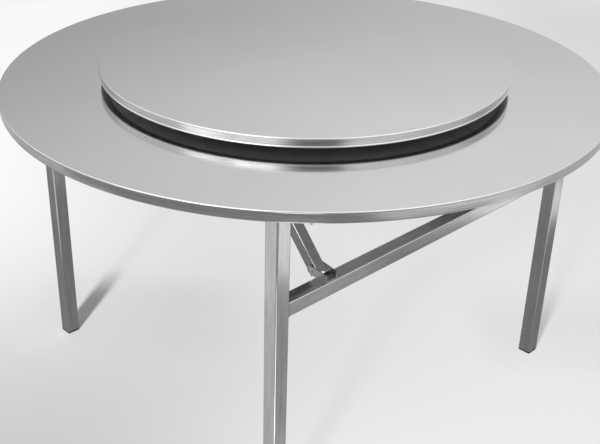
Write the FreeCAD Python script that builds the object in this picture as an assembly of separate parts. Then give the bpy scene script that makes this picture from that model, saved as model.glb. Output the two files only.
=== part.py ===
# Round stainless steel dining table, 1.4 m across, with a ball-bearing lazy susan.
# The top is a spun steel skin over a plywood lining. Two H-shaped leg frames, A and B, fold
# flat under it. They are alike, and each is set off sideways, so that their legs and stays
# lie side by side when both are folded.
# Frame: origin on the floor under the middle of the top, +Z up, crossbars along X.
# Frame A stands on the -Y side, frame B on the +Y side. All sizes are in millimetres.

import FreeCAD
import Part
import math
import os

Vector = FreeCAD.Vector

# ---- Driving dimensions -------------------------------------------------------------

# Table top
table_height = 755.0        # floor to the top face
table_diameter = 1400.0
table_edge_depth = 23.8     # height of the spun rim
skin_gauge = 1.0            # steel sheet of both tops
lining_thickness = 9.0      # plywood under the steel
return_flange = 3.5         # sheet turned in under the rim, clear of the legs

# Rolled edge of both tops
bead_radius = 2.2           # rounding of the rolled bead
bead_facets = 3             # straight steps that the bead is rolled in
band_inset = 1.4            # how far the band stands back from the bead
skin_fit = 0.1              # sheet to lining, at the band

# Lazy susan
susan_diameter = 950.0
susan_edge_depth = 21.5
susan_gap = 19.6            # table top to the susan's lower edge
susan_flange = 14.0

# Leg frames
leg_side = 34.0             # square tube
leg_wall = 1.5
leg_corner = 3.0
frame_spread = 889.0        # between the two fold axes
leg_spacing = 926.0         # between the two leg centres of a frame
frame_offset = 38.0         # each frame's shift along X, A towards -X and B towards +X
hinge_drop = 45.0           # lining's underside to the fold axis
leg_above_hinge = 30.0      # the tube's top stays under the rim's flange
crossbar_side = 32.0
crossbar_wall = 1.5
crossbar_corner = 2.5
crossbar_top = 546.0        # height of its top face
pad_thickness = 5.0         # foot pad under the tube
pad_inset = 0.5             # pad narrower than the tube, each side
pad_plug_depth = 18.0

# Fold hinges: a bracket whose ears reach down inside the leg tube
hinge_pin_radius = 5.0
bracket_plate = 3.0
bracket_inwards = 46.0      # plate from the fold axis, towards the middle
bracket_outwards = 22.0     # plate from the fold axis, towards the rim
hinge_boss = 10.0           # half width of the ears, and their radius around the pin
side_clearance = 0.5        # between a tube and the ears beside it
running_clearance = 0.05    # radial, pin in bore

# Stays
stay_side = 25.0
stay_wall = 1.5
stay_corner = 2.5
stay_angle = 48.0           # above the floor when the legs stand, degrees
stay_from_leg = 133.0       # leg centre to stay centre along the crossbar
stay_pin_radius = 4.0
stay_pin_above = 11.0       # pin above the crossbar's top face
swing_clearance = 0.5       # stay to the parts that it passes
clevis_plate = 2.5
clevis_boss = 9.5
clevis_nose = 15.0          # height of the ear over the crossbar's outer edge
glide_clearance = 0.3       # glide to channel, each side and at its stop
glide_plug_depth = 20.0     # glide inside the stay's tube

# Guide channels
channel_wall = 2.0
channel_depth = 26.0
channel_side_gap = 1.5      # stay to channel wall, each side
channel_end_gap = 10.0      # beyond the folded stay's end
channel_pinch = 4.0         # length of the narrowed outer end, where the glide stops

# Ball ring under the lazy susan
ball_diameter = 6.0
ball_count = 6
ball_pitch_radius = 150.0
ball_clearance = 0.15       # ball to race, square to the race's flank
race_gap = 3.0              # between the two rings
ring_width = 18.0
ring_height = 13.0
ring_lift = 1.2             # turning ring above the still ring's lower face
cage_thickness = 2.0
cage_height = 9.0
cage_pocket_clearance = 0.1
rubber_pad_radius = 8.0
rubber_pad_height = 2.0
rubber_pad_count = 4

# ---- Worked-out places --------------------------------------------------------------

lining_under = table_height - skin_gauge - lining_thickness
hinge_height = lining_under - hinge_drop
frame_y = frame_spread / 2

susan_under = table_height + susan_gap
susan_top = susan_under + susan_edge_depth
susan_board_under = susan_under + skin_gauge

# Stay linkage, measured inwards from the fold axis of its frame
stay_pin_in = crossbar_side / 2 + swing_clearance + stay_side / 2
stay_pin_height = crossbar_top + stay_pin_above
stay_tip_height = lining_under - channel_wall - swing_clearance - stay_side / 2
stay_rise = stay_tip_height - stay_pin_height
stay_slope = math.radians(stay_angle)
stay_length = stay_rise / math.sin(stay_slope)   # pin to the centre of the glide's rounding
stay_tip_in = stay_pin_in + stay_rise / math.tan(stay_slope)
folded_tip_in = hinge_height - stay_pin_height + stay_length
# The corners of the stay's square lower end swing just past the clevis's strap.
strap_half = crossbar_side / 2 - crossbar_corner
heel_reach = math.hypot(stay_pin_in - strap_half, stay_pin_above - clevis_plate) - swing_clearance
stay_heel = math.sqrt(heel_reach ** 2 - (stay_side / 2) ** 2)    # pin to the square end

channel_inner = stay_side + 2 * channel_side_gap
channel_outer = channel_inner + 2 * channel_wall
channel_stop_in = stay_tip_in - stay_side / 2 * math.sin(stay_slope) - glide_clearance
channel_start_in = channel_stop_in - channel_pinch
channel_end_in = folded_tip_in + stay_side / 2 + channel_end_gap

ring_under = table_height + rubber_pad_height
race_centre_height = ring_under + ring_height / 2 + ring_lift / 2


# ---- Helpers ------------------------------------------------------------------------

def export(shape, name):
    """Write one named piece."""
    if not shape.isValid():
        raise ValueError(name + " is not a valid solid")
    shape.exportStep("parts/" + name + ".step")


def block(x, y, z):
    """Box between two corners; each argument is (low, high)."""
    return Part.makeBox(x[1] - x[0], y[1] - y[0], z[1] - z[0], Vector(x[0], y[0], z[0]))


def rod_x(radius, x, y, z):
    """Cylinder along X; x is (low, high)."""
    return Part.makeCylinder(radius, x[1] - x[0], Vector(x[0], y, z), Vector(1, 0, 0))


def square_bar(side, corner, length):
    """Square bar along +Z from the origin, its long edges rounded."""
    half = side / 2
    bar = block((-half, half), (-half, half), (0, length))
    if corner <= 0:
        return bar
    long_edges = [edge for edge in bar.Edges if edge.BoundBox.ZLength > length / 2]
    return bar.makeFillet(corner, long_edges)


def square_tube(side, wall, corner, length):
    """Open square tube along +Z from the origin."""
    return square_bar(side, corner, length).cut(square_bar(side - 2 * wall, 0, length))


def extrude_x(points, x):
    """Prism over a polygon of (y, z) points; x is (low, high)."""
    corners = [Vector(x[0], y, z) for y, z in points]
    face = Part.Face(Part.makePolygon(corners + corners[:1]))
    return face.extrude(Vector(x[1] - x[0], 0, 0))


def spin(points):
    """Solid turned about the Z axis from a polygon of (radius, height) points."""
    corners = [Vector(radius, 0, height) for radius, height in points]
    face = Part.Face(Part.makePolygon(corners + corners[:1]))
    return face.revolve(Vector(0, 0, 0), Vector(0, 0, 1), 360)


def around(count, radius):
    """Evenly spaced (x, y) places on a circle."""
    step = 2 * math.pi / count
    return [(radius * math.cos(i * step), radius * math.sin(i * step)) for i in range(count)]


def group(solids):
    """Separate solids kept together in one piece file."""
    return Part.makeCompound(solids)


def frames():
    """Name and side (-1 towards -Y) of the two leg frames."""
    return (("a", -1), ("b", 1))


def hands():
    return (("left", -1), ("right", 1))


def place_x(side, across):
    """X of a point that lies this far across from the middle of a frame."""
    return side * frame_offset + across


def place_y(side, inwards):
    """Y of a point that lies this far inwards of a frame's fold axis."""
    return side * (frame_y - inwards)


# ---- Tops ---------------------------------------------------------------------------

def bead(centre_radius, centre_height, start, end):
    """Corners of a rolled bead between two angles above level, in radians."""
    points = []
    for step in range(bead_facets + 1):
        angle = start + (end - start) * step / bead_facets
        points.append((centre_radius + bead_radius * math.cos(angle),
                       centre_height + bead_radius * math.sin(angle)))
    return points


def spun_skin(diameter, top, depth, flange, lower_bead):
    """Spun sheet: flat face, rolled bead, plain band and turned-in flange."""
    bottom = top - depth
    band = diameter / 2 - band_inset
    rim = diameter / 2 - bead_radius
    # Seen from the bead's centre, the bead meets the band this far past level.
    turn = math.acos((bead_radius - band_inset) / bead_radius)
    outside = [(0, top)] + bead(rim, top - bead_radius, math.pi / 2, -turn)
    if lower_bead:
        foot = rim
        outside += bead(foot, bottom + bead_radius, turn, -math.pi / 2)
    else:
        foot = band - bead_radius
        outside += bead(foot, bottom + bead_radius, 0, -math.pi / 2)
    inside = [(foot - flange, bottom), (foot - flange, bottom + skin_gauge),
              (band - skin_gauge, bottom + skin_gauge), (band - skin_gauge, top - skin_gauge),
              (0, top - skin_gauge)]
    return spin(outside + inside)


def lining(diameter, top, thickness):
    """Plywood disc that fills the skin inside its band."""
    radius = diameter / 2 - band_inset - skin_gauge - skin_fit
    return Part.makeCylinder(radius, thickness, Vector(0, 0, top - skin_gauge - thickness))


# ---- Fold hinges --------------------------------------------------------------------

def hinge_bracket(leg_x, side):
    """Folded plate on the lining, two ears inside the leg tube and the pin riveted through them."""
    y = side * frame_y
    outer = leg_side / 2 - leg_wall - side_clearance
    plate_under = lining_under - bracket_plate
    plate_y = sorted((place_y(side, -bracket_outwards), place_y(side, bracket_inwards)))
    solid = block((leg_x - outer, leg_x + outer), plate_y, (plate_under, lining_under))
    for low in (leg_x - outer, leg_x + outer - bracket_plate):
        across = (low, low + bracket_plate)
        strip = block(across, (y - hinge_boss, y + hinge_boss), (hinge_height, plate_under))
        solid = solid.fuse(strip).fuse(rod_x(hinge_boss, across, y, hinge_height))
    pin = rod_x(hinge_pin_radius, (leg_x - leg_side / 2, leg_x + leg_side / 2), y, hinge_height)
    return solid.fuse(pin).removeSplitter()


# ---- Leg frames ---------------------------------------------------------------------

def leg(leg_x, side):
    """Upright tube from its foot pad to above the fold axis, its inner wall open for the bracket."""
    y = side * frame_y
    top = hinge_height + leg_above_hinge
    tube = square_tube(leg_side, leg_wall, leg_corner, top - pad_thickness)
    tube.translate(Vector(leg_x, y, pad_thickness))
    bore = rod_x(hinge_pin_radius + running_clearance, (leg_x - leg_side, leg_x + leg_side), y, hinge_height)
    # When the leg folds, the bracket's ears pass through this notch.
    half = leg_side / 2 - leg_wall
    notch_y = sorted((place_y(side, half), place_y(side, half + 2 * leg_wall)))
    notch = block((leg_x - half, leg_x + half), notch_y, (hinge_height - hinge_boss - side_clearance, top))
    return tube.cut(bore).cut(notch)


def foot_pad(leg_x, side):
    """Plastic glide with a plug that fills the tube's end."""
    flange = square_bar(leg_side - 2 * pad_inset, leg_corner - pad_inset, pad_thickness)
    plug = square_bar(leg_side - 2 * leg_wall, 0, pad_plug_depth)
    plug.translate(Vector(0, 0, pad_thickness))
    pad = flange.fuse(plug).removeSplitter()
    pad.translate(Vector(leg_x, side * frame_y, 0))
    return pad


def crossbar(side):
    """Tube welded between the inner faces of its two legs."""
    span = leg_spacing - leg_side
    tube = square_tube(crossbar_side, crossbar_wall, crossbar_corner, span)
    tube.rotate(Vector(0, 0, 0), Vector(0, 1, 0), 90)
    tube.translate(Vector(place_x(side, -span / 2), side * frame_y, crossbar_top - crossbar_side / 2))
    return tube


def stay_clevis(stay_x, side):
    """Strap across the crossbar with two ears that reach inwards, and the pin riveted through them."""
    inner = stay_side / 2 + side_clearance
    outer = inner + clevis_plate
    outline = [(-strap_half, crossbar_top), (-strap_half, crossbar_top + clevis_nose),
               (stay_pin_in, stay_pin_height + clevis_boss), (stay_pin_in, stay_pin_height - clevis_boss),
               (strap_half, crossbar_top)]
    points = [(place_y(side, inwards), z) for inwards, z in outline]
    pin_y = place_y(side, stay_pin_in)
    strap_y = sorted((place_y(side, -strap_half), place_y(side, strap_half)))
    solid = block((stay_x - outer, stay_x + outer), strap_y, (crossbar_top, crossbar_top + clevis_plate))
    for low in (stay_x - outer, stay_x + inner):
        across = (low, low + clevis_plate)
        solid = solid.fuse(extrude_x(points, across)).fuse(rod_x(clevis_boss, across, pin_y, stay_pin_height))
    pin = rod_x(stay_pin_radius, (stay_x - outer, stay_x + outer), pin_y, stay_pin_height)
    return solid.fuse(pin).removeSplitter()


# ---- Stays and their channels -------------------------------------------------------

def tilt(shape, stay_x, side):
    """Move a piece from the stay's own frame, pin at the origin, to its place under the top."""
    shape.rotate(Vector(0, 0, 0), Vector(1, 0, 0), side * (90 - stay_angle))
    shape.translate(Vector(stay_x, place_y(side, stay_pin_in), stay_pin_height))
    return shape


def stay(stay_x, side):
    """Square tube, cut square at both ends and bored for its lower pin."""
    tube = square_tube(stay_side, stay_wall, stay_corner, stay_heel + stay_length)
    tube.translate(Vector(0, 0, -stay_heel))
    bore = rod_x(stay_pin_radius + running_clearance, (-stay_side / 2, stay_side / 2), 0, 0)
    return tilt(tube.cut(bore), stay_x, side)


def stay_glide(stay_x, side):
    """Plastic plug in the stay's upper end; its rounded head runs in the channel."""
    head = channel_inner / 2 - glide_clearance
    bore = stay_side / 2 - stay_wall
    rounding = rod_x(stay_side / 2, (-head, head), 0, stay_length)
    below = block((-stay_side, stay_side), (-stay_side, stay_side), (stay_length - stay_side, stay_length))
    plug = block((-bore, bore), (-bore, bore), (stay_length - glide_plug_depth, stay_length))
    return tilt(rounding.cut(below).fuse(plug).removeSplitter(), stay_x, side)


def stay_channel(stay_x, side):
    """Downward-open channel; its outer end is pinched to pass the tube but stop the wider glide."""
    y = sorted((place_y(side, channel_start_in), place_y(side, channel_end_in)))
    z = (lining_under - channel_depth, lining_under)
    outer = block((stay_x - channel_outer / 2, stay_x + channel_outer / 2), y, z)
    hollow_z = (z[0], lining_under - channel_wall)
    run_y = sorted((place_y(side, channel_stop_in), place_y(side, channel_end_in)))
    run = block((stay_x - channel_inner / 2, stay_x + channel_inner / 2), run_y, hollow_z)
    neck = stay_side / 2 + swing_clearance
    return outer.cut(run).cut(block((stay_x - neck, stay_x + neck), y, hollow_z))


# ---- Ball ring ----------------------------------------------------------------------

def race_ring(direction, low, high):
    """Turned ring with a V race for the balls; direction is 1 for the outer ring and -1 for the inner."""
    wall = ball_pitch_radius + direction * race_gap / 2
    back = wall + direction * ring_width
    # Square flanks touch the ball all round, so the V's tip lies this far from its centre.
    reach = math.sqrt(2) * (ball_diameter / 2 + ball_clearance)
    half = reach - race_gap / 2
    middle = race_centre_height
    return spin([(wall, low), (wall, middle - half), (ball_pitch_radius + direction * reach, middle),
                 (wall, middle + half), (wall, high), (back, high), (back, low)])


def balls():
    places = around(ball_count, ball_pitch_radius)
    return group([Part.makeSphere(ball_diameter / 2, Vector(x, y, race_centre_height)) for x, y in places])


def ball_cage():
    """Thin ring between the races with a square pocket for each ball."""
    inner = ball_pitch_radius - cage_thickness / 2
    outer = ball_pitch_radius + cage_thickness / 2
    low = race_centre_height - cage_height / 2
    cage = spin([(inner, low), (outer, low), (outer, low + cage_height), (inner, low + cage_height)])
    half = ball_diameter / 2 + cage_pocket_clearance
    reach = (ball_pitch_radius - cage_thickness, ball_pitch_radius + cage_thickness)
    for i in range(ball_count):
        pocket = block(reach, (-half, half), (race_centre_height - half, race_centre_height + half))
        pocket.rotate(Vector(0, 0, 0), Vector(0, 0, 1), 360 * i / ball_count)
        cage = cage.cut(pocket)
    return cage


def rubber_pads():
    """Pads under the still ring, which keep it from sliding on the steel."""
    radius = ball_pitch_radius + race_gap / 2 + ring_width / 2
    return group([Part.makeCylinder(rubber_pad_radius, rubber_pad_height, Vector(x, y, table_height))
                  for x, y in around(rubber_pad_count, radius)])


# ---- Build --------------------------------------------------------------------------

def build_top():
    export(spun_skin(table_diameter, table_height, table_edge_depth, return_flange, False), "table_top_skin")
    export(lining(table_diameter, table_height, lining_thickness), "table_top_lining")


def build_frames():
    for frame, side in frames():
        export(crossbar(side), "crossbar_" + frame)
        for hand, sign in hands():
            end = "_" + frame + "_" + hand
            leg_x = place_x(side, sign * leg_spacing / 2)
            stay_x = leg_x - sign * stay_from_leg
            export(leg(leg_x, side), "leg" + end)
            export(foot_pad(leg_x, side), "foot_pad" + end)
            export(hinge_bracket(leg_x, side), "hinge_bracket" + end)
            export(stay_clevis(stay_x, side), "stay_clevis" + end)
            export(stay(stay_x, side), "stay" + end)
            export(stay_glide(stay_x, side), "stay_glide" + end)
            export(stay_channel(stay_x, side), "stay_channel" + end)


def build_susan():
    export(spun_skin(susan_diameter, susan_top, susan_edge_depth, susan_flange, True), "susan_skin")
    export(lining(susan_diameter, susan_top, susan_edge_depth - 2 * skin_gauge), "susan_lining")
    export(race_ring(1, ring_under, ring_under + ring_height), "susan_base_ring")
    export(race_ring(-1, ring_under + ring_lift, susan_board_under), "susan_top_ring")
    export(balls(), "susan_balls")
    export(ball_cage(), "susan_ball_cage")
    export(rubber_pads(), "susan_rubber_pads")


os.makedirs("parts", exist_ok=True)
build_top()
build_frames()
build_susan()
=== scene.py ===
# Looks of the round steel dining table with its lazy susan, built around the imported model.
# Blender works in metres here; small sizes are given in millimetres and turned to metres by MM.

import math

import bmesh
import bpy
from mathutils import Matrix, Vector

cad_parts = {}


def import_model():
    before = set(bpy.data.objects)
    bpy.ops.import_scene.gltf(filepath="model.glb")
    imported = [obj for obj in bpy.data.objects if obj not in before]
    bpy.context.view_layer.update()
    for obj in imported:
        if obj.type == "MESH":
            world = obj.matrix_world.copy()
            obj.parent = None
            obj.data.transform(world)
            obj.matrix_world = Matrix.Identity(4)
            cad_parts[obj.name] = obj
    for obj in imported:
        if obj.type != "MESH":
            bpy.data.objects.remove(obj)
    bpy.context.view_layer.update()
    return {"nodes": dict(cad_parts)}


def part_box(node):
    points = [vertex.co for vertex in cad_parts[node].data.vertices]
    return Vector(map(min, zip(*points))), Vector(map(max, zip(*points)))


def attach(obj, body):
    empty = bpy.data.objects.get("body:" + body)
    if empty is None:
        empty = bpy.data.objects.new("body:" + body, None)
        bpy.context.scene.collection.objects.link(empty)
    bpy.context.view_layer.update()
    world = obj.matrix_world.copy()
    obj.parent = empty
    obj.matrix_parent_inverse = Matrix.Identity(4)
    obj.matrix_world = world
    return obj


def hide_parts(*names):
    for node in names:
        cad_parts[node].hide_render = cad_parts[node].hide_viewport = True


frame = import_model()
scene = bpy.context.scene

MM = 0.001
NEARLY_ZERO = 1e-7          # metres; points this near to each other are one, and this near the axis lie on it
X_AXIS = (1.0, 0.0, 0.0)
Y_AXIS = (0.0, 1.0, 0.0)
Z_AXIS = (0.0, 0.0, 1.0)

FRAME_SIDES = {"a": -1, "b": 1}     # each leg frame and the side of Y that it stands on
HANDS = ("left", "right")

# ---- Driving dimensions (mm, as the part has them) -----------------------------------

SKIN_GAUGE = 1.0
BEAD_RADIUS = 2.2
BAND_INSET = 1.4            # the band stands back this much from the bead's reach
TABLE_FLANGE = 3.5
SUSAN_FLANGE = 14.0
CLEVIS_BOSS = 9.5           # from the clevis's inner and upper edges to its pin
BRACKET_PLATE = 3.0
CHANNEL_WALL = 2.0

# ---- Small forms that only the looks have (mm) ----------------------------------------

SUSAN_LEAN = 0.9            # the lazy susan's band leans in this much towards its foot
HEAD_SINK = 0.2             # rivet and screw heads start this far inside what they sit on

RIVET_RADIUS = 6.0
RIVET_HEIGHT = 2.2
RIVET_PROFILE = ((1.0, 0.25), (0.92, 0.55), (0.72, 0.82), (0.38, 0.97))  # shares of radius and height

SCREW_RADIUS = 4.0
BRACKET_SCREW_HEIGHT = 2.0
CHANNEL_SCREW_HEIGHT = 0.25
SCREW_PROFILE = ((1.0, 0.35), (0.88, 0.8), (0.66, 1.0))                  # shares of radius and height
RECESS_ARM = 0.55           # reach of the cross recess, as a share of the head's radius
RECESS_BOTTOM = 0.3         # height of its bottom, as a share of the head's height
RECESS_HALF_ANGLE = 15.0    # degrees, half of what the end of an arm spans

BRACKET_SCREW_FROM_OUTER = 7.0              # from the plate's end that is nearer the rim
BRACKET_SCREW_FROM_INNER = 12.0             # from its end that is nearer the middle
BRACKET_SCREW_SIDEWAYS = 8.0                # to either side of the bracket's middle
CHANNEL_SCREW_SHARES = (0.12, 0.5, 0.88)    # places along the channel

WELD_RADIUS = 1.8
WELD_CORNER = 2.5           # rounding of its path at the crossbar's corners
WELD_RIPPLES = ((0.16, 2.1, 0.0), (0.10, 0.83, 1.0))    # waves: share of the radius, turn per step, start

# ---- Facets ---------------------------------------------------------------------------

ROUND_STEPS = 288           # round the two tops
BEAD_STEPS = 10             # round a rolled bead
RIVET_SIDES = 24
SCREW_SIDES = 12            # three to each arm of the cross recess
WELD_SIDES = 8
WELD_STEPS = 12             # along each side of the crossbar
SHARP_ANGLE = 35.0          # degrees; faces that meet at less look smooth

# ---- Finishes -------------------------------------------------------------------------

NOISE_RANGE = (0.3, 0.7)    # where most of a noise pattern lies
FINE_RELIEF = 0.0003        # depth of surface marks, metres
METAL_TONES = (0.9, 1.05)   # darkest and palest places of small metal pieces, as shares of their level
MOULDED_DARKEST = 0.85      # the same for plastic and rubber, whose palest places have their colour

# How far a skin's faces lean, as the height of their normal.
LIP_LEAN = 0.20             # the rim's lip is less rough and painted pale, as a painted highlight, where its normal rises more than this
SHEET_LEAN = 0.97           # and up to here, where the flat sheet begins; the flange looks down as much
SKIN_FINISHES = ("sheet", "band", "lip", "flange")

# Patterns on the tubes, in cells per metre: across the tube and along it.
TUBE_LINES = (700.0, 5.0)
TUBE_BLOTCHES = (90.0, 12.0)
TUBE_BLOTCH_RANGE = (0.89, 1.09)    # shares of the tube's own level
TUBE_ROUGHNESS = (0.12, 0.22)
# Tube corners: a pale colour that is a painted highlight, and a lower roughness.
CORNER_HIGHLIGHT_COLOUR = (0.86, 0.86, 0.86)
CORNER_ROUGHNESS = 0.10
CORNER_EDGE = (0.222, 0.04)         # product of the squared leans where a corner begins, and its softness
SIDE_EDGE = (0.9, 0.1)              # squared lean where a side face with painted shade begins, and its softness

# Finish of each CAD node, by how its name starts. The smooth skins stand in for the last two.
NODE_FINISHES = (
    ("leg_", "tube_z"),
    ("crossbar_", "tube_x"),
    ("foot_pad_", "pad"),
    ("stay_glide_", "nylon"),
    ("stay_channel_", "plate"),
    ("stay_clevis_", "plate"),
    ("stay_", "stay"),
    ("hinge_bracket_", "bracket"),
    ("susan_balls", "ball"),
    ("susan_ball_cage", "nylon"),
    ("susan_rubber_pads", "rubber"),
    ("susan_base_ring", "ring"),
    ("susan_top_ring", "ring"),
    ("susan_lining", "board"),
    ("table_top_lining", "board"),
    ("susan_skin", "sheet"),
    ("table_top_skin", "sheet"),
)

# ---- Camera (metres and degrees) ------------------------------------------------------

CAMERA_DISTANCE = 2.2685    # on the floor plan, from the table's axis
CAMERA_HEIGHT = 1.5830
CAMERA_SIDE = 45.124        # the camera stands this far round from -Y towards -X
CAMERA_TURN = -2.156        # heading away from the axis
CAMERA_PITCH = 28.247       # below level
CAMERA_ROLL = 0.596
CAMERA_LENS = 61.134
SENSOR_WIDTH = 36.0
CAMERA_SHIFT_X = 0.0567     # of the picture's width
CAMERA_SHIFT_Y = -0.005

# ---- Key light (metres; its place is right, away and up as the camera sees it) ---------

KEY_PLACE = (-2.0, -6.0, 3.6)
KEY_SIDE = 0.6
KEY_RADIANCE = 455.0        # watts per square metre and steradian

# ---- Studio floor ---------------------------------------------------------------------
# A patch is (level, edges) and lies where all its edges overlap. An edge is (axis, place,
# softness) in metres: the patch is beyond that place, or short of it if the softness is negative.
# "right" and "away" are as the camera sees the floor, "reach" is measured all round from the
# table's axis, and "east" and "west" run aslant, to the right and to the left and both nearer.
# A later patch lies over the earlier ones.

FLOOR_SIZE = 60.0
FLOOR_DROP = 0.0002         # the floor lies this far under the foot pads
EAST = (0.93, -0.37)
WEST = (-0.832, -0.555)

# Painted reflections: glowing light and shade that the floor shows to polished faces only.
PAINTED_REFLECTION_BASE = 0.55
PAINTED_REFLECTION_PATCHES = (
    # Dark under and beside the table, and less dark on its near right.
    (0.24, (("east", 1.23, -0.06), ("west", 1.10, -0.08), ("away", -0.42, 0.12), ("away", 0.70, -0.5))),
    (0.38, (("east", 1.19, -0.06), ("right", 0.25, 0.2), ("away", -1.00, 0.2), ("away", -0.24, -0.12))),
    # On the left: dark further out, and mid grey nearer the camera.
    (0.26, (("west", 1.28, -0.06), ("right", -0.50, -0.2), ("away", -0.22, 0.12), ("away", 0.70, -0.5))),
    (0.60, (("west", 1.10, -0.08), ("right", -0.35, -0.2), ("away", -1.00, 0.2), ("away", -0.45, -0.1))),
    # On the right: a dark stretch further out, and pale beyond it.
    (0.24, (("east", 1.32, -0.06), ("right", 0.80, 0.3), ("away", -0.42, 0.12), ("away", -0.05, -0.1))),
    (0.95, (("east", 1.24, 0.06), ("right", 1.60, -0.3), ("away", -0.05, 0.1), ("away", 0.40, -0.2))),
    (1.10, (("east", 1.33, 0.06), ("right", 1.60, -0.3), ("away", -1.00, 0.2), ("away", 0.40, -0.2))),
    (1.05, (("east", 1.17, 0.06), ("right", 1.60, -0.3), ("away", -1.00, 0.2), ("away", -0.55, -0.1))),
    # Pale further out on the near left.
    (0.78, (("west", 1.12, 0.08), ("reach", 1.80, -0.2), ("away", -1.00, 0.2), ("away", -0.30, -0.2))),
    # Before the table: dark, with a narrow bright strip in the middle.
    (0.27, (("reach", 0.92, 0.1), ("away", -0.92, -0.1))),
    (2.30, (("reach", 1.66, -0.06), ("away", -0.95, -0.1), ("right", -0.14, 0.08), ("right", 0.14, -0.08))),
    # Furthest out all round: mid grey, but dark on the near side and pale on the near right.
    (0.55, (("reach", 1.88, 0.12),)),
    (0.27, (("reach", 1.88, 0.12), ("away", -0.45, -0.5), ("right", 0.72, -0.3))),
    (0.76, (("reach", 1.88, 0.12), ("right", 0.85, 0.3), ("away", -0.45, -0.6))),
)

# Tone of the floor as the camera sees it: painted light and shade, shown as a glow.
PAPER_BASE = 0.60
PAPER_PATCHES = (
    # Paler behind than before the table, and palest at the far left.
    (0.767, (("away", -0.02, 1.26),)),
    (0.978, (("right", -0.70, -1.0), ("away", 0.15, 1.36))),
    # Pale on the right, a little more so near the camera and less so far behind.
    (0.800, (("right", 0.14, 0.95),)),
    (0.855, (("right", -0.16, 0.9), ("away", -0.20, -0.91))),
    (0.720, (("right", 1.0, 0.6), ("away", 1.9, 1.6))),
    # One tone far out all round.
    (0.800, (("reach", 3.7, 0.9),)),
)

# Share of that tone that the lamp gives and shadows take away: most of it by the two far feet.
SHADOW_BASE = 0.10
SHADOW_PATCHES = (
    (1.00, (("right", -0.75, 0.1), ("right", -0.20, -0.3), ("away", -0.10, 0.1), ("away", 0.26, -0.22))),
    (0.55, (("right", 0.50, 0.1), ("right", 1.10, -0.4), ("away", -0.10, 0.1), ("away", 0.22, -0.28))),
)
LIT_LEVEL = 0.64            # what the lamp and the surround give the paper at its own colour
PAPER_ALBEDO = 0.80

# ---- Surround -------------------------------------------------------------------------
# What it shows to polished faces, in patches as above. It has directions and no distances, so an
# edge's place is how far a direction goes right, away or up, from -1 to 1.

SURROUND_BASE = 0.95
SURROUND_PATCHES = (
    # Darker on the far right.
    (0.62, (("away", 0.20, 0.4), ("right", 0.35, 0.3))),
    # Straight behind the table: dark low down and paler higher up.
    (0.37, (("away", 0.60, 0.6),)),
    (0.67, (("away", 0.60, 0.6), ("up", 0.38, 0.5))),
    # The same towards the right, and paler there.
    (0.73, (("away", 0.60, 0.6), ("right", 0.0, 1.2))),
    (1.06, (("away", 0.60, 0.6), ("right", 0.0, 1.2), ("up", 0.38, 0.5))),
    # Pale overhead.
    (1.15, (("up", 0.75, 0.3),)),
)

# Round soft boxes on the camera's side, and the dark gap between them, each as (level, turn,
# height, inner reach, outer reach) with all but the level in degrees. The turn is from the
# camera's side towards the right, and the edge is soft between the two reaches.
SOFT_BOXES = (
    (2.05, -56.0, 35.0, 11.0, 17.5),
    (1.15, -14.0, 33.0, 5.0, 12.0),
    (1.60, -43.0, 13.0, 6.0, 12.0),
    (4.00, -31.0, 13.0, 6.5, 12.5),
    (4.00, -20.0, 13.0, 6.0, 12.0),
    (0.30, 9.0, 31.0, 9.0, 19.0),
    (0.30, 9.0, 15.0, 7.0, 15.0),
    (1.12, 47.0, 24.0, 14.0, 26.0),
)
DIFFUSE_LEVEL = 0.30        # the surround's light on dull faces


def seen_from_camera(right, away, height=0.0):
    """Point in the part's frame, given as the camera sees the floor plan: right, away, up."""
    turn = math.radians(CAMERA_SIDE)
    return Vector((right * math.cos(turn) + away * math.sin(turn),
                   -right * math.sin(turn) + away * math.cos(turn), height))


# ---- Nodes ----------------------------------------------------------------------------

def new_material(name, metallic=0.0):
    """A Principled material, its node tree and its shader."""
    material = bpy.data.materials.new(name)
    material.use_nodes = True
    tree = material.node_tree
    shader = tree.nodes["Principled BSDF"]
    shader.inputs["Metallic"].default_value = metallic
    return material, tree, shader


def add(tree, kind, **values):
    """New node with these properties."""
    node = tree.nodes.new(kind)
    for name, value in values.items():
        setattr(node, name, value)
    return node


def feed(tree, value, socket):
    """Give a socket a fixed value, or link it to another node's output."""
    if isinstance(value, bpy.types.NodeSocket):
        tree.links.new(value, socket)
    else:
        socket.default_value = value


def calculate(tree, operation, first, second):
    node = add(tree, "ShaderNodeMath", operation=operation)
    feed(tree, first, node.inputs[0])
    feed(tree, second, node.inputs[1])
    return node.outputs[0]


def times(tree, first, second):
    return calculate(tree, "MULTIPLY", first, second)


def dot_with(tree, vector, direction):
    node = add(tree, "ShaderNodeVectorMath", operation="DOT_PRODUCT")
    node.inputs[1].default_value = direction
    tree.links.new(vector, node.inputs[0])
    return node.outputs["Value"]


def length_of(tree, vector):
    node = add(tree, "ShaderNodeVectorMath", operation="LENGTH")
    tree.links.new(vector, node.inputs[0])
    return node.outputs["Value"]


def mixed(tree, data_type, first, second, share):
    """First value moved to the second by a share; each is fixed or an output."""
    node = add(tree, "ShaderNodeMix", data_type=data_type)
    feed(tree, first, node.inputs["A"])
    feed(tree, second, node.inputs["B"])
    feed(tree, share, node.inputs["Factor"])
    return node.outputs["Result"]


def blend(tree, level, target, share):
    """Level moved to the target by a share."""
    return mixed(tree, "FLOAT", level, target, share)


def ramp(tree, value, low, high):
    """Noise value turned into the range low to high."""
    mapped = add(tree, "ShaderNodeMapRange")
    mapped.inputs["From Min"].default_value = NOISE_RANGE[0]
    mapped.inputs["From Max"].default_value = NOISE_RANGE[1]
    mapped.inputs["To Min"].default_value = low
    mapped.inputs["To Max"].default_value = high
    tree.links.new(value, mapped.inputs["Value"])
    return mapped.outputs["Result"]


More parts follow.
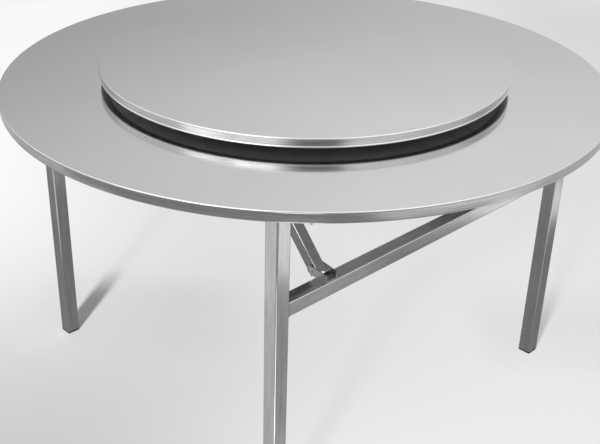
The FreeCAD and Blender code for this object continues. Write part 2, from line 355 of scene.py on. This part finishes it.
def soft_step(tree, value, edge, softness):
    """0 below an edge and 1 above it, with a change this wide; a negative softness swaps them."""
    mapped = add(tree, "ShaderNodeMapRange", interpolation_type="SMOOTHSTEP")
    mapped.inputs["From Min"].default_value = edge - softness / 2
    mapped.inputs["From Max"].default_value = edge + softness / 2
    tree.links.new(value, mapped.inputs["Value"])
    return mapped.outputs["Result"]


def opaque(colour):
    return (*colour, 1.0)


def grey(level):
    return (level, level, level)


# ---- Patterns -------------------------------------------------------------------------

def stretched(tree, vector, scale):
    """Coordinates scaled along each axis; a pattern is drawn out where the scale is small."""
    mapping = add(tree, "ShaderNodeMapping")
    mapping.inputs["Scale"].default_value = scale
    tree.links.new(vector, mapping.inputs["Vector"])
    return mapping.outputs["Vector"]


def noise(tree, vector, detail=3.0, roughness=0.6):
    node = add(tree, "ShaderNodeTexNoise")
    node.inputs["Scale"].default_value = 1.0
    node.inputs["Detail"].default_value = detail
    node.inputs["Roughness"].default_value = roughness
    tree.links.new(vector, node.inputs["Vector"])
    return node.outputs["Fac"]


def object_noise(tree, scale, detail=3.0, roughness=0.6):
    """Noise on the object's own coordinates, in cells per metre along each axis."""
    coords = add(tree, "ShaderNodeTexCoord")
    return noise(tree, stretched(tree, coords.outputs["Object"], scale), detail, roughness)


def even_noise(tree, scale, detail=3.0):
    """Noise with as many cells per metre every way."""
    return object_noise(tree, (scale, scale, scale), detail)


def drawn_noise(tree, axis, across, along):
    """Noise with other cells along an axis than across it."""
    return object_noise(tree, [along if part else across for part in axis])


def ring_noise(tree, scale, detail):
    """Noise that runs round the Z axis; its scale is for angle, radius and height."""
    coords = add(tree, "ShaderNodeTexCoord")
    split = add(tree, "ShaderNodeSeparateXYZ")
    flat = add(tree, "ShaderNodeCombineXYZ")
    joined = add(tree, "ShaderNodeCombineXYZ")
    link = tree.links.new
    link(coords.outputs["Object"], split.inputs[0])
    link(split.outputs["X"], flat.inputs["X"])
    link(split.outputs["Y"], flat.inputs["Y"])
    link(calculate(tree, "ARCTAN2", split.outputs["Y"], split.outputs["X"]), joined.inputs["X"])
    link(length_of(tree, flat.outputs[0]), joined.inputs["Y"])
    link(split.outputs["Z"], joined.inputs["Z"])
    return noise(tree, stretched(tree, joined.outputs[0], scale), detail)


# ---- Materials ------------------------------------------------------------------------

def raise_marks(tree, shader, grain, strength, relief=FINE_RELIEF):
    """Raise the surface by a pattern."""
    bump = add(tree, "ShaderNodeBump")
    bump.inputs["Strength"].default_value = strength
    bump.inputs["Distance"].default_value = relief
    tree.links.new(grain, bump.inputs["Height"])
    tree.links.new(bump.outputs["Normal"], shader.inputs["Normal"])


def dress(tree, shader, tone, grain, colours, roughness, strength, relief=FINE_RELIEF):
    """Colour between two by the tone pattern; roughness and surface marks by the grain."""
    darkest, palest = colours
    colour = mixed(tree, "RGBA", opaque(darkest), opaque(palest), ramp(tree, tone, 0.0, 1.0))
    tree.links.new(colour, shader.inputs["Base Color"])
    tree.links.new(ramp(tree, grain, *roughness), shader.inputs["Roughness"])
    raise_marks(tree, shader, grain, strength, relief)


def top_sheet():
    """Smooth satin sheet of the two tops: a soft mirror with a faint uneven tone."""
    material, tree, shader = new_material("satin_sheet", metallic=1.0)
    tone = even_noise(tree, scale=3.0, detail=2.0)
    grain = even_noise(tree, scale=260.0, detail=2.0)
    dress(tree, shader, tone, grain, colours=((0.655, 0.655, 0.66), (0.685, 0.685, 0.69)),
          roughness=(0.10, 0.15), strength=0.02, relief=0.0002)
    return material


def rolled_band():
    """The rim's band, with fine lines rolled round it."""
    material, tree, shader = new_material("rolled_band", metallic=1.0)
    tone = ring_noise(tree, (6.0, 1.0, 900.0), detail=4.0)
    grain = ring_noise(tree, (10.0, 1.0, 2200.0), detail=3.0)
    dress(tree, shader, tone, grain, colours=((0.47, 0.47, 0.475), (0.76, 0.76, 0.765)),
          roughness=(0.10, 0.20), strength=0.10)
    return material


def plain_metal(name, level, roughness, grain_scale=180.0):
    """Small bent or turned metal pieces, a little darker and paler in places than their level."""
    material, tree, shader = new_material(name, metallic=1.0)
    tone = even_noise(tree, scale=30.0)
    grain = even_noise(tree, grain_scale)
    dress(tree, shader, tone, grain, colours=[grey(level * share) for share in METAL_TONES],
          roughness=roughness, strength=0.10)
    return material


def moulded(name, colour, roughness):
    """Plastic or rubber with a fine moulded grain."""
    material, tree, shader = new_material(name)
    grain = even_noise(tree, scale=1500.0, detail=2.0)
    darkest = [level * MOULDED_DARKEST for level in colour]
    dress(tree, shader, grain, grain, colours=(darkest, colour), roughness=roughness, strength=0.15)
    return material


def faced_board():
    """Dark film-faced plywood, smooth with a faint long grain."""
    material, tree, shader = new_material("film_faced_board")
    grain = object_noise(tree, (90.0, 3.0, 90.0), detail=6.0, roughness=0.65)
    dress(tree, shader, grain, grain, colours=((0.35, 0.345, 0.34), (0.45, 0.44, 0.43)),
          roughness=(0.45, 0.6), strength=0.15)
    return material


def face_leans(tree, across):
    """Squared lean of a tube's faces to an axis across the tube, and a share that is 1 on its corners."""
    coords = add(tree, "ShaderNodeTexCoord")
    lean = dot_with(tree, coords.outputs["Normal"], across)
    square = times(tree, lean, lean)
    other_square = calculate(tree, "SUBTRACT", 1.0, square)
    # The product of the two squares is a quarter where the normal points along the diagonal.
    return square, soft_step(tree, times(tree, square, other_square), *CORNER_EDGE)


def tube_steel(name, along, across, level, side_shade_level=None):
    """Tube with drawing lines along one axis, and corners painted pale as a painted highlight and made less
    rough; the faces that look along the axis across it may have a darker level of their own, as painted
    shade."""
    material, tree, shader = new_material(name, metallic=1.0)
    square, corner = face_leans(tree, across)
    grain = drawn_noise(tree, along, *TUBE_LINES)
    blotches = ramp(tree, drawn_noise(tree, along, *TUBE_BLOTCHES), *TUBE_BLOTCH_RANGE)
    # Painted shade: the side faces get a darker level of their own.
    if side_shade_level is not None:
        level = blend(tree, level, side_shade_level, soft_step(tree, square, *SIDE_EDGE))
    # Painted highlight: the corners are mixed to a pale colour.
    colour = mixed(tree, "RGBA", times(tree, blotches, level), opaque(CORNER_HIGHLIGHT_COLOUR), corner)
    roughness = blend(tree, ramp(tree, grain, *TUBE_ROUGHNESS), CORNER_ROUGHNESS, corner)
    tree.links.new(colour, shader.inputs["Base Color"])
    tree.links.new(roughness, shader.inputs["Roughness"])
    raise_marks(tree, shader, grain, strength=0.12)
    return material


# ---- Meshes ---------------------------------------------------------------------------

def soften(form):
    """Smooth faces, with sharp edges where two faces meet at more than the sharp angle."""
    limit = math.radians(SHARP_ANGLE)
    for face in form.faces:
        face.smooth = True
    for edge in form.edges:
        edge.smooth = len(edge.link_faces) == 2 and edge.calc_face_angle(0.0) < limit


def new_object(name, form):
    """Object in the scene from a form, which is freed."""
    mesh = bpy.data.meshes.new(name)
    form.to_mesh(mesh)
    form.free()
    piece = bpy.data.objects.new(name, mesh)
    scene.collection.objects.link(piece)
    return piece


def finished(name, form, finishes, body):
    """One piece from a closed form, with its materials and body."""
    bmesh.ops.recalc_face_normals(form, faces=form.faces)
    soften(form)
    piece = new_object(name, form)
    for finish in finishes:
        piece.data.materials.append(materials[finish])
    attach(piece, body)
    return piece


def circle(radius, height, count, start=0.0):
    """Points of a level circle round the Z axis, from a start angle on."""
    step = 2 * math.pi / count
    turns = [start + i * step for i in range(count)]
    return [Vector((radius * math.cos(turn), radius * math.sin(turn), height)) for turn in turns]


def ring(form, points):
    return [form.verts.new(point) for point in points]


def skin_between(form, first, second):
    """Quads between two rings with the same number of corners."""
    count = len(first)
    for i in range(count):
        j = (i + 1) % count
        form.faces.new((first[i], first[j], second[j], second[i]))


def capped(form, rings):
    """Quads between each ring and the next, and a face over both ends."""
    for first, second in zip(rings, rings[1:]):
        skin_between(form, first, second)
    form.faces.new(rings[0])
    form.faces.new(rings[-1])


# ---- Spun tops ------------------------------------------------------------------------

def bead_arc(centre, start, end):
    """Points round a bead and their normals, from one angle to another."""
    bead = BEAD_RADIUS * MM
    arc = []
    for step in range(BEAD_STEPS + 1):
        angle = start + (end - start) * step / BEAD_STEPS
        normal = (math.cos(angle), math.sin(angle))
        arc.append(((centre[0] + bead * normal[0], centre[1] + bead * normal[1]), normal))
    return arc


def skin_outline(radius, top, bottom, flange, lean, lower_bead):
    """Outer points (radius, height) and their normals, from the axis down to the flange."""
    bead = BEAD_RADIUS * MM
    band = radius - BAND_INSET * MM
    turn = math.acos((BEAD_RADIUS - BAND_INSET) / BEAD_RADIUS)
    outwards = (1.0, 0.0)
    points = [((0.0, top), (0.0, 1.0))]
    points += bead_arc((radius - bead, top - bead), math.pi / 2, -turn)
    points.append(((band, top - bead - bead * math.sin(turn)), outwards))
    if lower_bead:
        foot = (radius - bead - lean, bottom + bead)
        points.append(((band - lean, foot[1] + bead * math.sin(turn)), outwards))
        points += bead_arc(foot, turn, -math.pi / 2)
    else:
        foot = (band - bead - lean, bottom + bead)
        points.append(((band - lean, foot[1]), outwards))
        points += bead_arc(foot, 0.0, -math.pi / 2)
    points.append(((foot[0] - flange, bottom), (0.0, -1.0)))
    return points


def without_repeats(points):
    kept = [points[0]]
    for point in points[1:]:
        if math.dist(point, kept[-1]) > NEARLY_ZERO:
            kept.append(point)
    return kept


def spin(outline):
    """Closed form of revolution; the outline starts and ends on the axis."""
    form = bmesh.new()
    rings = []
    for radius, height in outline:
        if radius < NEARLY_ZERO:
            rings.append(ring(form, [(0.0, 0.0, height)]))
        else:
            rings.append(ring(form, circle(radius, height, ROUND_STEPS)))
    for upper, lower in zip(rings, rings[1:]):
        for i in range(ROUND_STEPS):
            j = (i + 1) % ROUND_STEPS
            # A ring of one point, on the axis, turns the quads into triangles.
            corners = [upper[i % len(upper)], upper[j % len(upper)]]
            corners += [lower[j % len(lower)], lower[i % len(lower)]]
            form.faces.new(list(dict.fromkeys(corners)))
    return form


def skin_finish(face, rim_start):
    """Finish of one face of a skin, by its lean and by whether it lies in the rim."""
    if face.normal.z < -SHEET_LEAN:
        return "flange"
    if math.hypot(face.center.x, face.center.y) > rim_start:
        if abs(face.normal.z) < LIP_LEAN:
            return "band"
        if LIP_LEAN <= face.normal.z < SHEET_LEAN:
            return "lip"
    return "sheet"


def spun_top(node, body, flange, lean, lower_bead):
    """Smooth spun skin in the place of its CAD node."""
    low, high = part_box(node)
    radius = (high.x - low.x) / 2
    bead = BEAD_RADIUS * MM
    gauge = SKIN_GAUGE * MM
    outline = skin_outline(radius, high.z, low.z, flange * MM, lean * MM, lower_bead)
    outer = [point for point, _ in outline]
    inner = [(place - gauge * outwards, height - gauge * upwards)
             for (place, height), (outwards, upwards) in reversed(outline)]
    form = spin(without_repeats(outer + inner))
    piece = finished(node + "_smooth", form, SKIN_FINISHES, body)
    for face in piece.data.polygons:
        face.material_index = SKIN_FINISHES.index(skin_finish(face, radius - 2 * bead))
    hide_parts(node)


# ---- Fasteners and welds --------------------------------------------------------------

def head_profile(radius, height, shares):
    """Rings of a head as (radius, height), from inside what it sits on up to its top."""
    return [(radius, -HEAD_SINK * MM)] + [(radius * across, height * up) for across, up in shares]


def rivet_head(form, place, outwards):
    """Low dome on a short edge."""
    turn = Vector(outwards).to_track_quat("Z", "Y")
    rings = []
    for radius, height in head_profile(RIVET_RADIUS * MM, RIVET_HEIGHT * MM, RIVET_PROFILE):
        rings.append(ring(form, [place + turn @ point for point in circle(radius, height, RIVET_SIDES)]))
    capped(form, rings)


def cross_recess(radius):
    """Corners of the cross recess in a head of this radius."""
    arm = radius * RECESS_ARM
    half = arm * math.tan(math.radians(RECESS_HALF_ANGLE))
    cross = []
    for quarter in range(4):
        turn = Matrix.Rotation(quarter * math.pi / 2, 2)
        cross += [turn @ Vector(corner) for corner in ((arm, -half), (arm, half), (half, half))]
    return cross


def screw_head(form, place, height):
    """Head with a cross recess, facing down from its place."""
    start = -math.radians(RECESS_HALF_ANGLE)
    cross = cross_recess(SCREW_RADIUS * MM)
    rings = []
    for radius, depth in head_profile(SCREW_RADIUS * MM, height, SCREW_PROFILE):
        rings.append(ring(form, [place + point for point in circle(radius, -depth, SCREW_SIDES, start)]))
    for depth in (height, height * RECESS_BOTTOM):
        rings.append(ring(form, [place + Vector((point.x, point.y, -depth)) for point in cross]))
    capped(form, rings)


def weld_size(i):
    """Radius of a weld bead at step i of its path, uneven as a weld's ripples are."""
    size = 1.0
    for share, turn, start in WELD_RIPPLES:
        size += share * math.sin(i * turn + start)
    return WELD_RADIUS * MM * size


def weld_path(low, high):
    """Places round a square tube at X = 0, and the way out from the tube at each."""
    corner = WELD_CORNER * MM
    middle = Vector((0.0, (low.y + high.y) / 2, (low.z + high.z) / 2))
    half = (high.y - low.y) / 2 - corner
    out = Vector(Y_AXIS)
    slanting = Vector((0.0, math.sqrt(0.5), math.sqrt(0.5)))
    path = []
    for quarter in range(4):
        turn = Matrix.Rotation(quarter * math.pi / 2, 3, "X")
        for step in range(WELD_STEPS + 1):
            along = half * (2 * step / WELD_STEPS - 1)
            path.append((middle + turn @ Vector((0.0, half + corner, along)), turn @ out))
        path.append((middle + turn @ (Vector((0.0, half, half)) + corner * slanting), turn @ slanting))
    return path


def weld_bead(form, x, path):
    """Rippled bead along a closed path, against a face at x."""
    rings = []
    for i, (place, out) in enumerate(path):
        size = weld_size(i)
        centre = place + Vector((x, 0.0, 0.0))
        points = []
        for k in range(WELD_SIDES):
            angle = 2 * math.pi * k / WELD_SIDES
            points.append(centre + size * (math.cos(angle) * out + math.sin(angle) * Vector(X_AXIS)))
        rings.append(ring(form, points))
    for first, second in zip(rings, rings[1:] + rings[:1]):
        skin_between(form, first, second)


def frame_welds():
    """Beads where each crossbar meets its two legs."""
    for frame_name in FRAME_SIDES:
        form = bmesh.new()
        low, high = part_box("crossbar_" + frame_name)
        for x in (low.x, high.x):
            weld_bead(form, x, weld_path(low, high))
        finished("weld_beads_" + frame_name, form, ["weld"], "leg_frame_" + frame_name)


def clevis_rivets():
    """Heads on both ends of the stays' lower pins."""
    boss = CLEVIS_BOSS * MM
    for frame_name, side in FRAME_SIDES.items():
        form = bmesh.new()
        for hand in HANDS:
            low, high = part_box("stay_clevis_" + frame_name + "_" + hand)
            inner = high.y if side < 0 else low.y
            for x, outwards in ((low.x, -1.0), (high.x, 1.0)):
                rivet_head(form, Vector((x, inner + side * boss, high.z - boss)), (outwards, 0.0, 0.0))
        finished("clevis_rivet_heads_" + frame_name, form, ["screw"], "leg_frame_" + frame_name)


def bracket_screws(form, under, low, high, side):
    """Two pairs of screws through a hinge bracket's plate."""
    middle = (low.x + high.x) / 2
    sideways = BRACKET_SCREW_SIDEWAYS * MM
    outer, inner = (low.y, high.y) if side < 0 else (high.y, low.y)
    for y in (outer - side * BRACKET_SCREW_FROM_OUTER * MM, inner + side * BRACKET_SCREW_FROM_INNER * MM):
        for x in (middle - sideways, middle + sideways):
            place = Vector((x, y, under - BRACKET_PLATE * MM))
            screw_head(form, place, BRACKET_SCREW_HEIGHT * MM)


def channel_screws(form, under, low, high):
    """Low screws along the inside of a guide channel."""
    middle = (low.x + high.x) / 2
    for share in CHANNEL_SCREW_SHARES:
        y = low.y + share * (high.y - low.y)
        place = Vector((middle, y, under - CHANNEL_WALL * MM))
        screw_head(form, place, CHANNEL_SCREW_HEIGHT * MM)


def top_screws():
    """Screws that hold the hinge brackets and the channels to the lining."""
    form = bmesh.new()
    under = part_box("table_top_lining")[0].z
    for frame_name, side in FRAME_SIDES.items():
        for hand in HANDS:
            end = "_" + frame_name + "_" + hand
            bracket_screws(form, under, *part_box("hinge_bracket" + end), side)
            channel_screws(form, under, *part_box("stay_channel" + end))
    finished("top_screws", form, ["screw"], "table")


# ---- Stage ----------------------------------------------------------------------------

def patches_on(tree, level, axes, patches):
    """Lay soft-edged patches on a level, one after another."""
    for target, edges in patches:
        steps = [soft_step(tree, axes[axis], edge, softness) for axis, edge, softness in edges]
        share = steps[0]
        for step in steps[1:]:
            share = times(tree, share, step)
        level = blend(tree, level, target, share)
    return level


def camera_axes(tree, vector):
    """How far a vector goes to the right and away, as the camera sees the floor plan."""
    return {"right": dot_with(tree, vector, seen_from_camera(1.0, 0.0)),
            "away": dot_with(tree, vector, seen_from_camera(0.0, 1.0))}


def paper(tree):
    """Plain paper, lit by the lamp and the surround."""
    shader = add(tree, "ShaderNodeBsdfDiffuse")
    shader.inputs["Color"].default_value = opaque(grey(PAPER_ALBEDO))
    return shader


def glowing(tree, level):
    """Surface that shows a level, whatever lights it."""
    shader = add(tree, "ShaderNodeEmission")
    tree.links.new(level, shader.inputs["Color"])
    return shader


def mixed_shader(tree, share, first, second):
    """First shader moved to the second by a share."""
    node = add(tree, "ShaderNodeMixShader")
    tree.links.new(share, node.inputs["Fac"])
    tree.links.new(first.outputs[0], node.inputs[1])
    tree.links.new(second.outputs[0], node.inputs[2])
    return node


def floor_paper():
    """Paper for the camera: a glowing painted tone of light and shade, part of it lit and shadowed by the
    lamp; for polished faces, pale and dark patches of painted reflection.
    """
    material, tree, principled = new_material("floor_paper")
    tree.nodes.remove(principled)
    place = add(tree, "ShaderNodeNewGeometry").outputs["Position"]
    axes = camera_axes(tree, place)
    axes["east"] = dot_with(tree, place, seen_from_camera(*EAST))
    axes["west"] = dot_with(tree, place, seen_from_camera(*WEST))
    axes["reach"] = length_of(tree, place)
    rays = add(tree, "ShaderNodeLightPath")
    # Painted light and shade of the floor for the camera.
    tone = patches_on(tree, PAPER_BASE, axes, PAPER_PATCHES)
    lit = paper(tree)
    tree.links.new(times(tree, tone, PAPER_ALBEDO / LIT_LEVEL), lit.inputs["Color"])
    shadow = patches_on(tree, SHADOW_BASE, axes, SHADOW_PATCHES)
    seen = mixed_shader(tree, shadow, glowing(tree, tone), lit)
    direct = mixed_shader(tree, rays.outputs["Is Camera Ray"], paper(tree), seen)
    # Painted reflections: glowing patches that only polished faces see.
    mirrored = glowing(tree, patches_on(tree, PAINTED_REFLECTION_BASE, axes, PAINTED_REFLECTION_PATCHES))
    surface = mixed_shader(tree, rays.outputs["Is Glossy Ray"], direct, mirrored)
    tree.links.new(surface.outputs[0], tree.nodes["Material Output"].inputs["Surface"])
    return material


def floor():
    form = bmesh.new()
    bmesh.ops.create_grid(form, x_segments=1, y_segments=1, size=FLOOR_SIZE / 2)
    plane = new_object("studio_floor", form)
    plane.location = (0.0, 0.0, -FLOOR_DROP)
    plane.data.materials.append(floor_paper())


def sky_direction(turn, height):
    """Direction from the table; the turn is from the camera's side towards the right, in degrees."""
    turn = math.radians(turn)
    height = math.radians(height)
    level = math.cos(height)
    return seen_from_camera(math.sin(turn) * level, -math.cos(turn) * level, math.sin(height))


def world():
    """Pale studio surround with soft boxes before the table; dull faces get it as one plain level."""
    surround = bpy.data.worlds.new("studio")
    scene.world = surround
    surround.use_nodes = True
    surround.cycles.sampling_method = "NONE"
    tree = surround.node_tree
    view = add(tree, "ShaderNodeTexCoord").outputs["Generated"]
    axes = camera_axes(tree, view)
    axes["up"] = dot_with(tree, view, Z_AXIS)
    level = patches_on(tree, SURROUND_BASE, axes, SURROUND_PATCHES)
    for target, turn, height, inner, outer in SOFT_BOXES:
        near = math.cos(math.radians(inner))
        far = math.cos(math.radians(outer))
        nearness = dot_with(tree, view, sky_direction(turn, height))
        level = blend(tree, level, target, soft_step(tree, nearness, (near + far) / 2, near - far))
    rays = add(tree, "ShaderNodeLightPath")
    level = blend(tree, level, DIFFUSE_LEVEL, rays.outputs["Is Diffuse Ray"])
    tree.links.new(level, tree.nodes["Background"].inputs["Color"])


def key_light():
    """Small square lamp that draws the shadows; neither the camera nor polished faces show it."""
    lamp = bpy.data.lights.new("key_light", "AREA")
    lamp.shape = "RECTANGLE"
    lamp.size = KEY_SIDE
    lamp.size_y = KEY_SIDE
    lamp.energy = KEY_RADIANCE * math.pi * KEY_SIDE * KEY_SIDE
    place = seen_from_camera(*KEY_PLACE)
    holder = bpy.data.objects.new("key_light", lamp)
    holder.location = place
    holder.rotation_mode = "QUATERNION"
    holder.rotation_quaternion = (-place).to_track_quat("-Z", "Y")
    holder.visible_camera = False
    holder.visible_glossy = False
    scene.collection.objects.link(holder)


def camera():
    data = bpy.data.cameras.new("camera")
    data.lens = CAMERA_LENS
    data.sensor_width = SENSOR_WIDTH
    data.sensor_fit = "HORIZONTAL"
    data.shift_x = CAMERA_SHIFT_X
    data.shift_y = CAMERA_SHIFT_Y
    turn = math.radians(CAMERA_TURN)
    pitch = math.radians(CAMERA_PITCH)
    roll = math.radians(CAMERA_ROLL)
    ahead = math.cos(pitch)
    forward = seen_from_camera(math.sin(turn) * ahead, math.cos(turn) * ahead, -math.sin(pitch))
    level = forward.cross(Vector(Z_AXIS)).normalized()
    upright = level.cross(forward)
    across = level * math.cos(roll) + upright * math.sin(roll)
    upright = upright * math.cos(roll) - level * math.sin(roll)
    axes = Matrix((across, upright, -forward)).transposed()
    place = seen_from_camera(0.0, -CAMERA_DISTANCE, CAMERA_HEIGHT)
    holder = bpy.data.objects.new("camera", data)
    holder.matrix_world = Matrix.Translation(place) @ axes.to_4x4()
    scene.collection.objects.link(holder)
    scene.camera = holder


# ---- Build ----------------------------------------------------------------------------

def finish_of(node):
    """Name of the finish that a CAD node gets."""
    return next(finish for start, finish in NODE_FINISHES if node.startswith(start))


materials = {
    "sheet": top_sheet(),
    "band": rolled_band(),
    # The lip's pale level is a painted highlight; its low roughness is a real polish.
    "lip": plain_metal("lip_with_painted_highlight", level=0.86, roughness=(0.08, 0.14)),
    # The flange under each top: a much darker level than the sheet, as painted shade, and a rougher finish.
    "flange": plain_metal("dull_sheet_painted_shade", level=0.22, roughness=(0.35, 0.5)),
    "tube_x": tube_steel("tube_steel_x", along=X_AXIS, across=Z_AXIS, level=0.64),
    "tube_z": tube_steel("tube_steel_z", along=Z_AXIS, across=X_AXIS, level=0.64),
    # The stay's side faces are painted darker than its top, as painted shade.
    "stay": tube_steel("stay_steel", along=Y_AXIS, across=X_AXIS, level=0.54, side_shade_level=0.23),
    "plate": plain_metal("bent_plate", level=0.45, roughness=(0.26, 0.40)),
    "bracket": plain_metal("bracket_plate", level=0.64, roughness=(0.16, 0.28)),
    "weld": plain_metal("weld_bead", level=0.50, roughness=(0.30, 0.50), grain_scale=900.0),
    "screw": plain_metal("screw_steel", level=0.55, roughness=(0.20, 0.32), grain_scale=400.0),
    "ball": plain_metal("polished_ball", level=0.72, roughness=(0.04, 0.07), grain_scale=60.0),
    "ring": plain_metal("turned_ring", level=0.66, roughness=(0.2, 0.35)),
    "board": faced_board(),
    "pad": moulded("black_plastic_grain", colour=(0.014, 0.014, 0.015), roughness=(0.5, 0.65)),
    "nylon": moulded("white_nylon_grain", colour=(0.78, 0.77, 0.73), roughness=(0.35, 0.5)),
    "rubber": moulded("black_rubber_grain", colour=(0.04, 0.04, 0.04), roughness=(0.7, 0.85)),
}

for node, piece in frame["nodes"].items():
    piece.data.materials.clear()
    piece.data.materials.append(materials[finish_of(node)])

spun_top("table_top_skin", "table", TABLE_FLANGE, lean=0.0, lower_bead=False)
spun_top("susan_skin", "susan", SUSAN_FLANGE, lean=SUSAN_LEAN, lower_bead=True)
frame_welds()
clevis_rivets()
top_screws()

floor()
world()
camera()
key_light()

scene.view_settings.view_transform = "Standard"
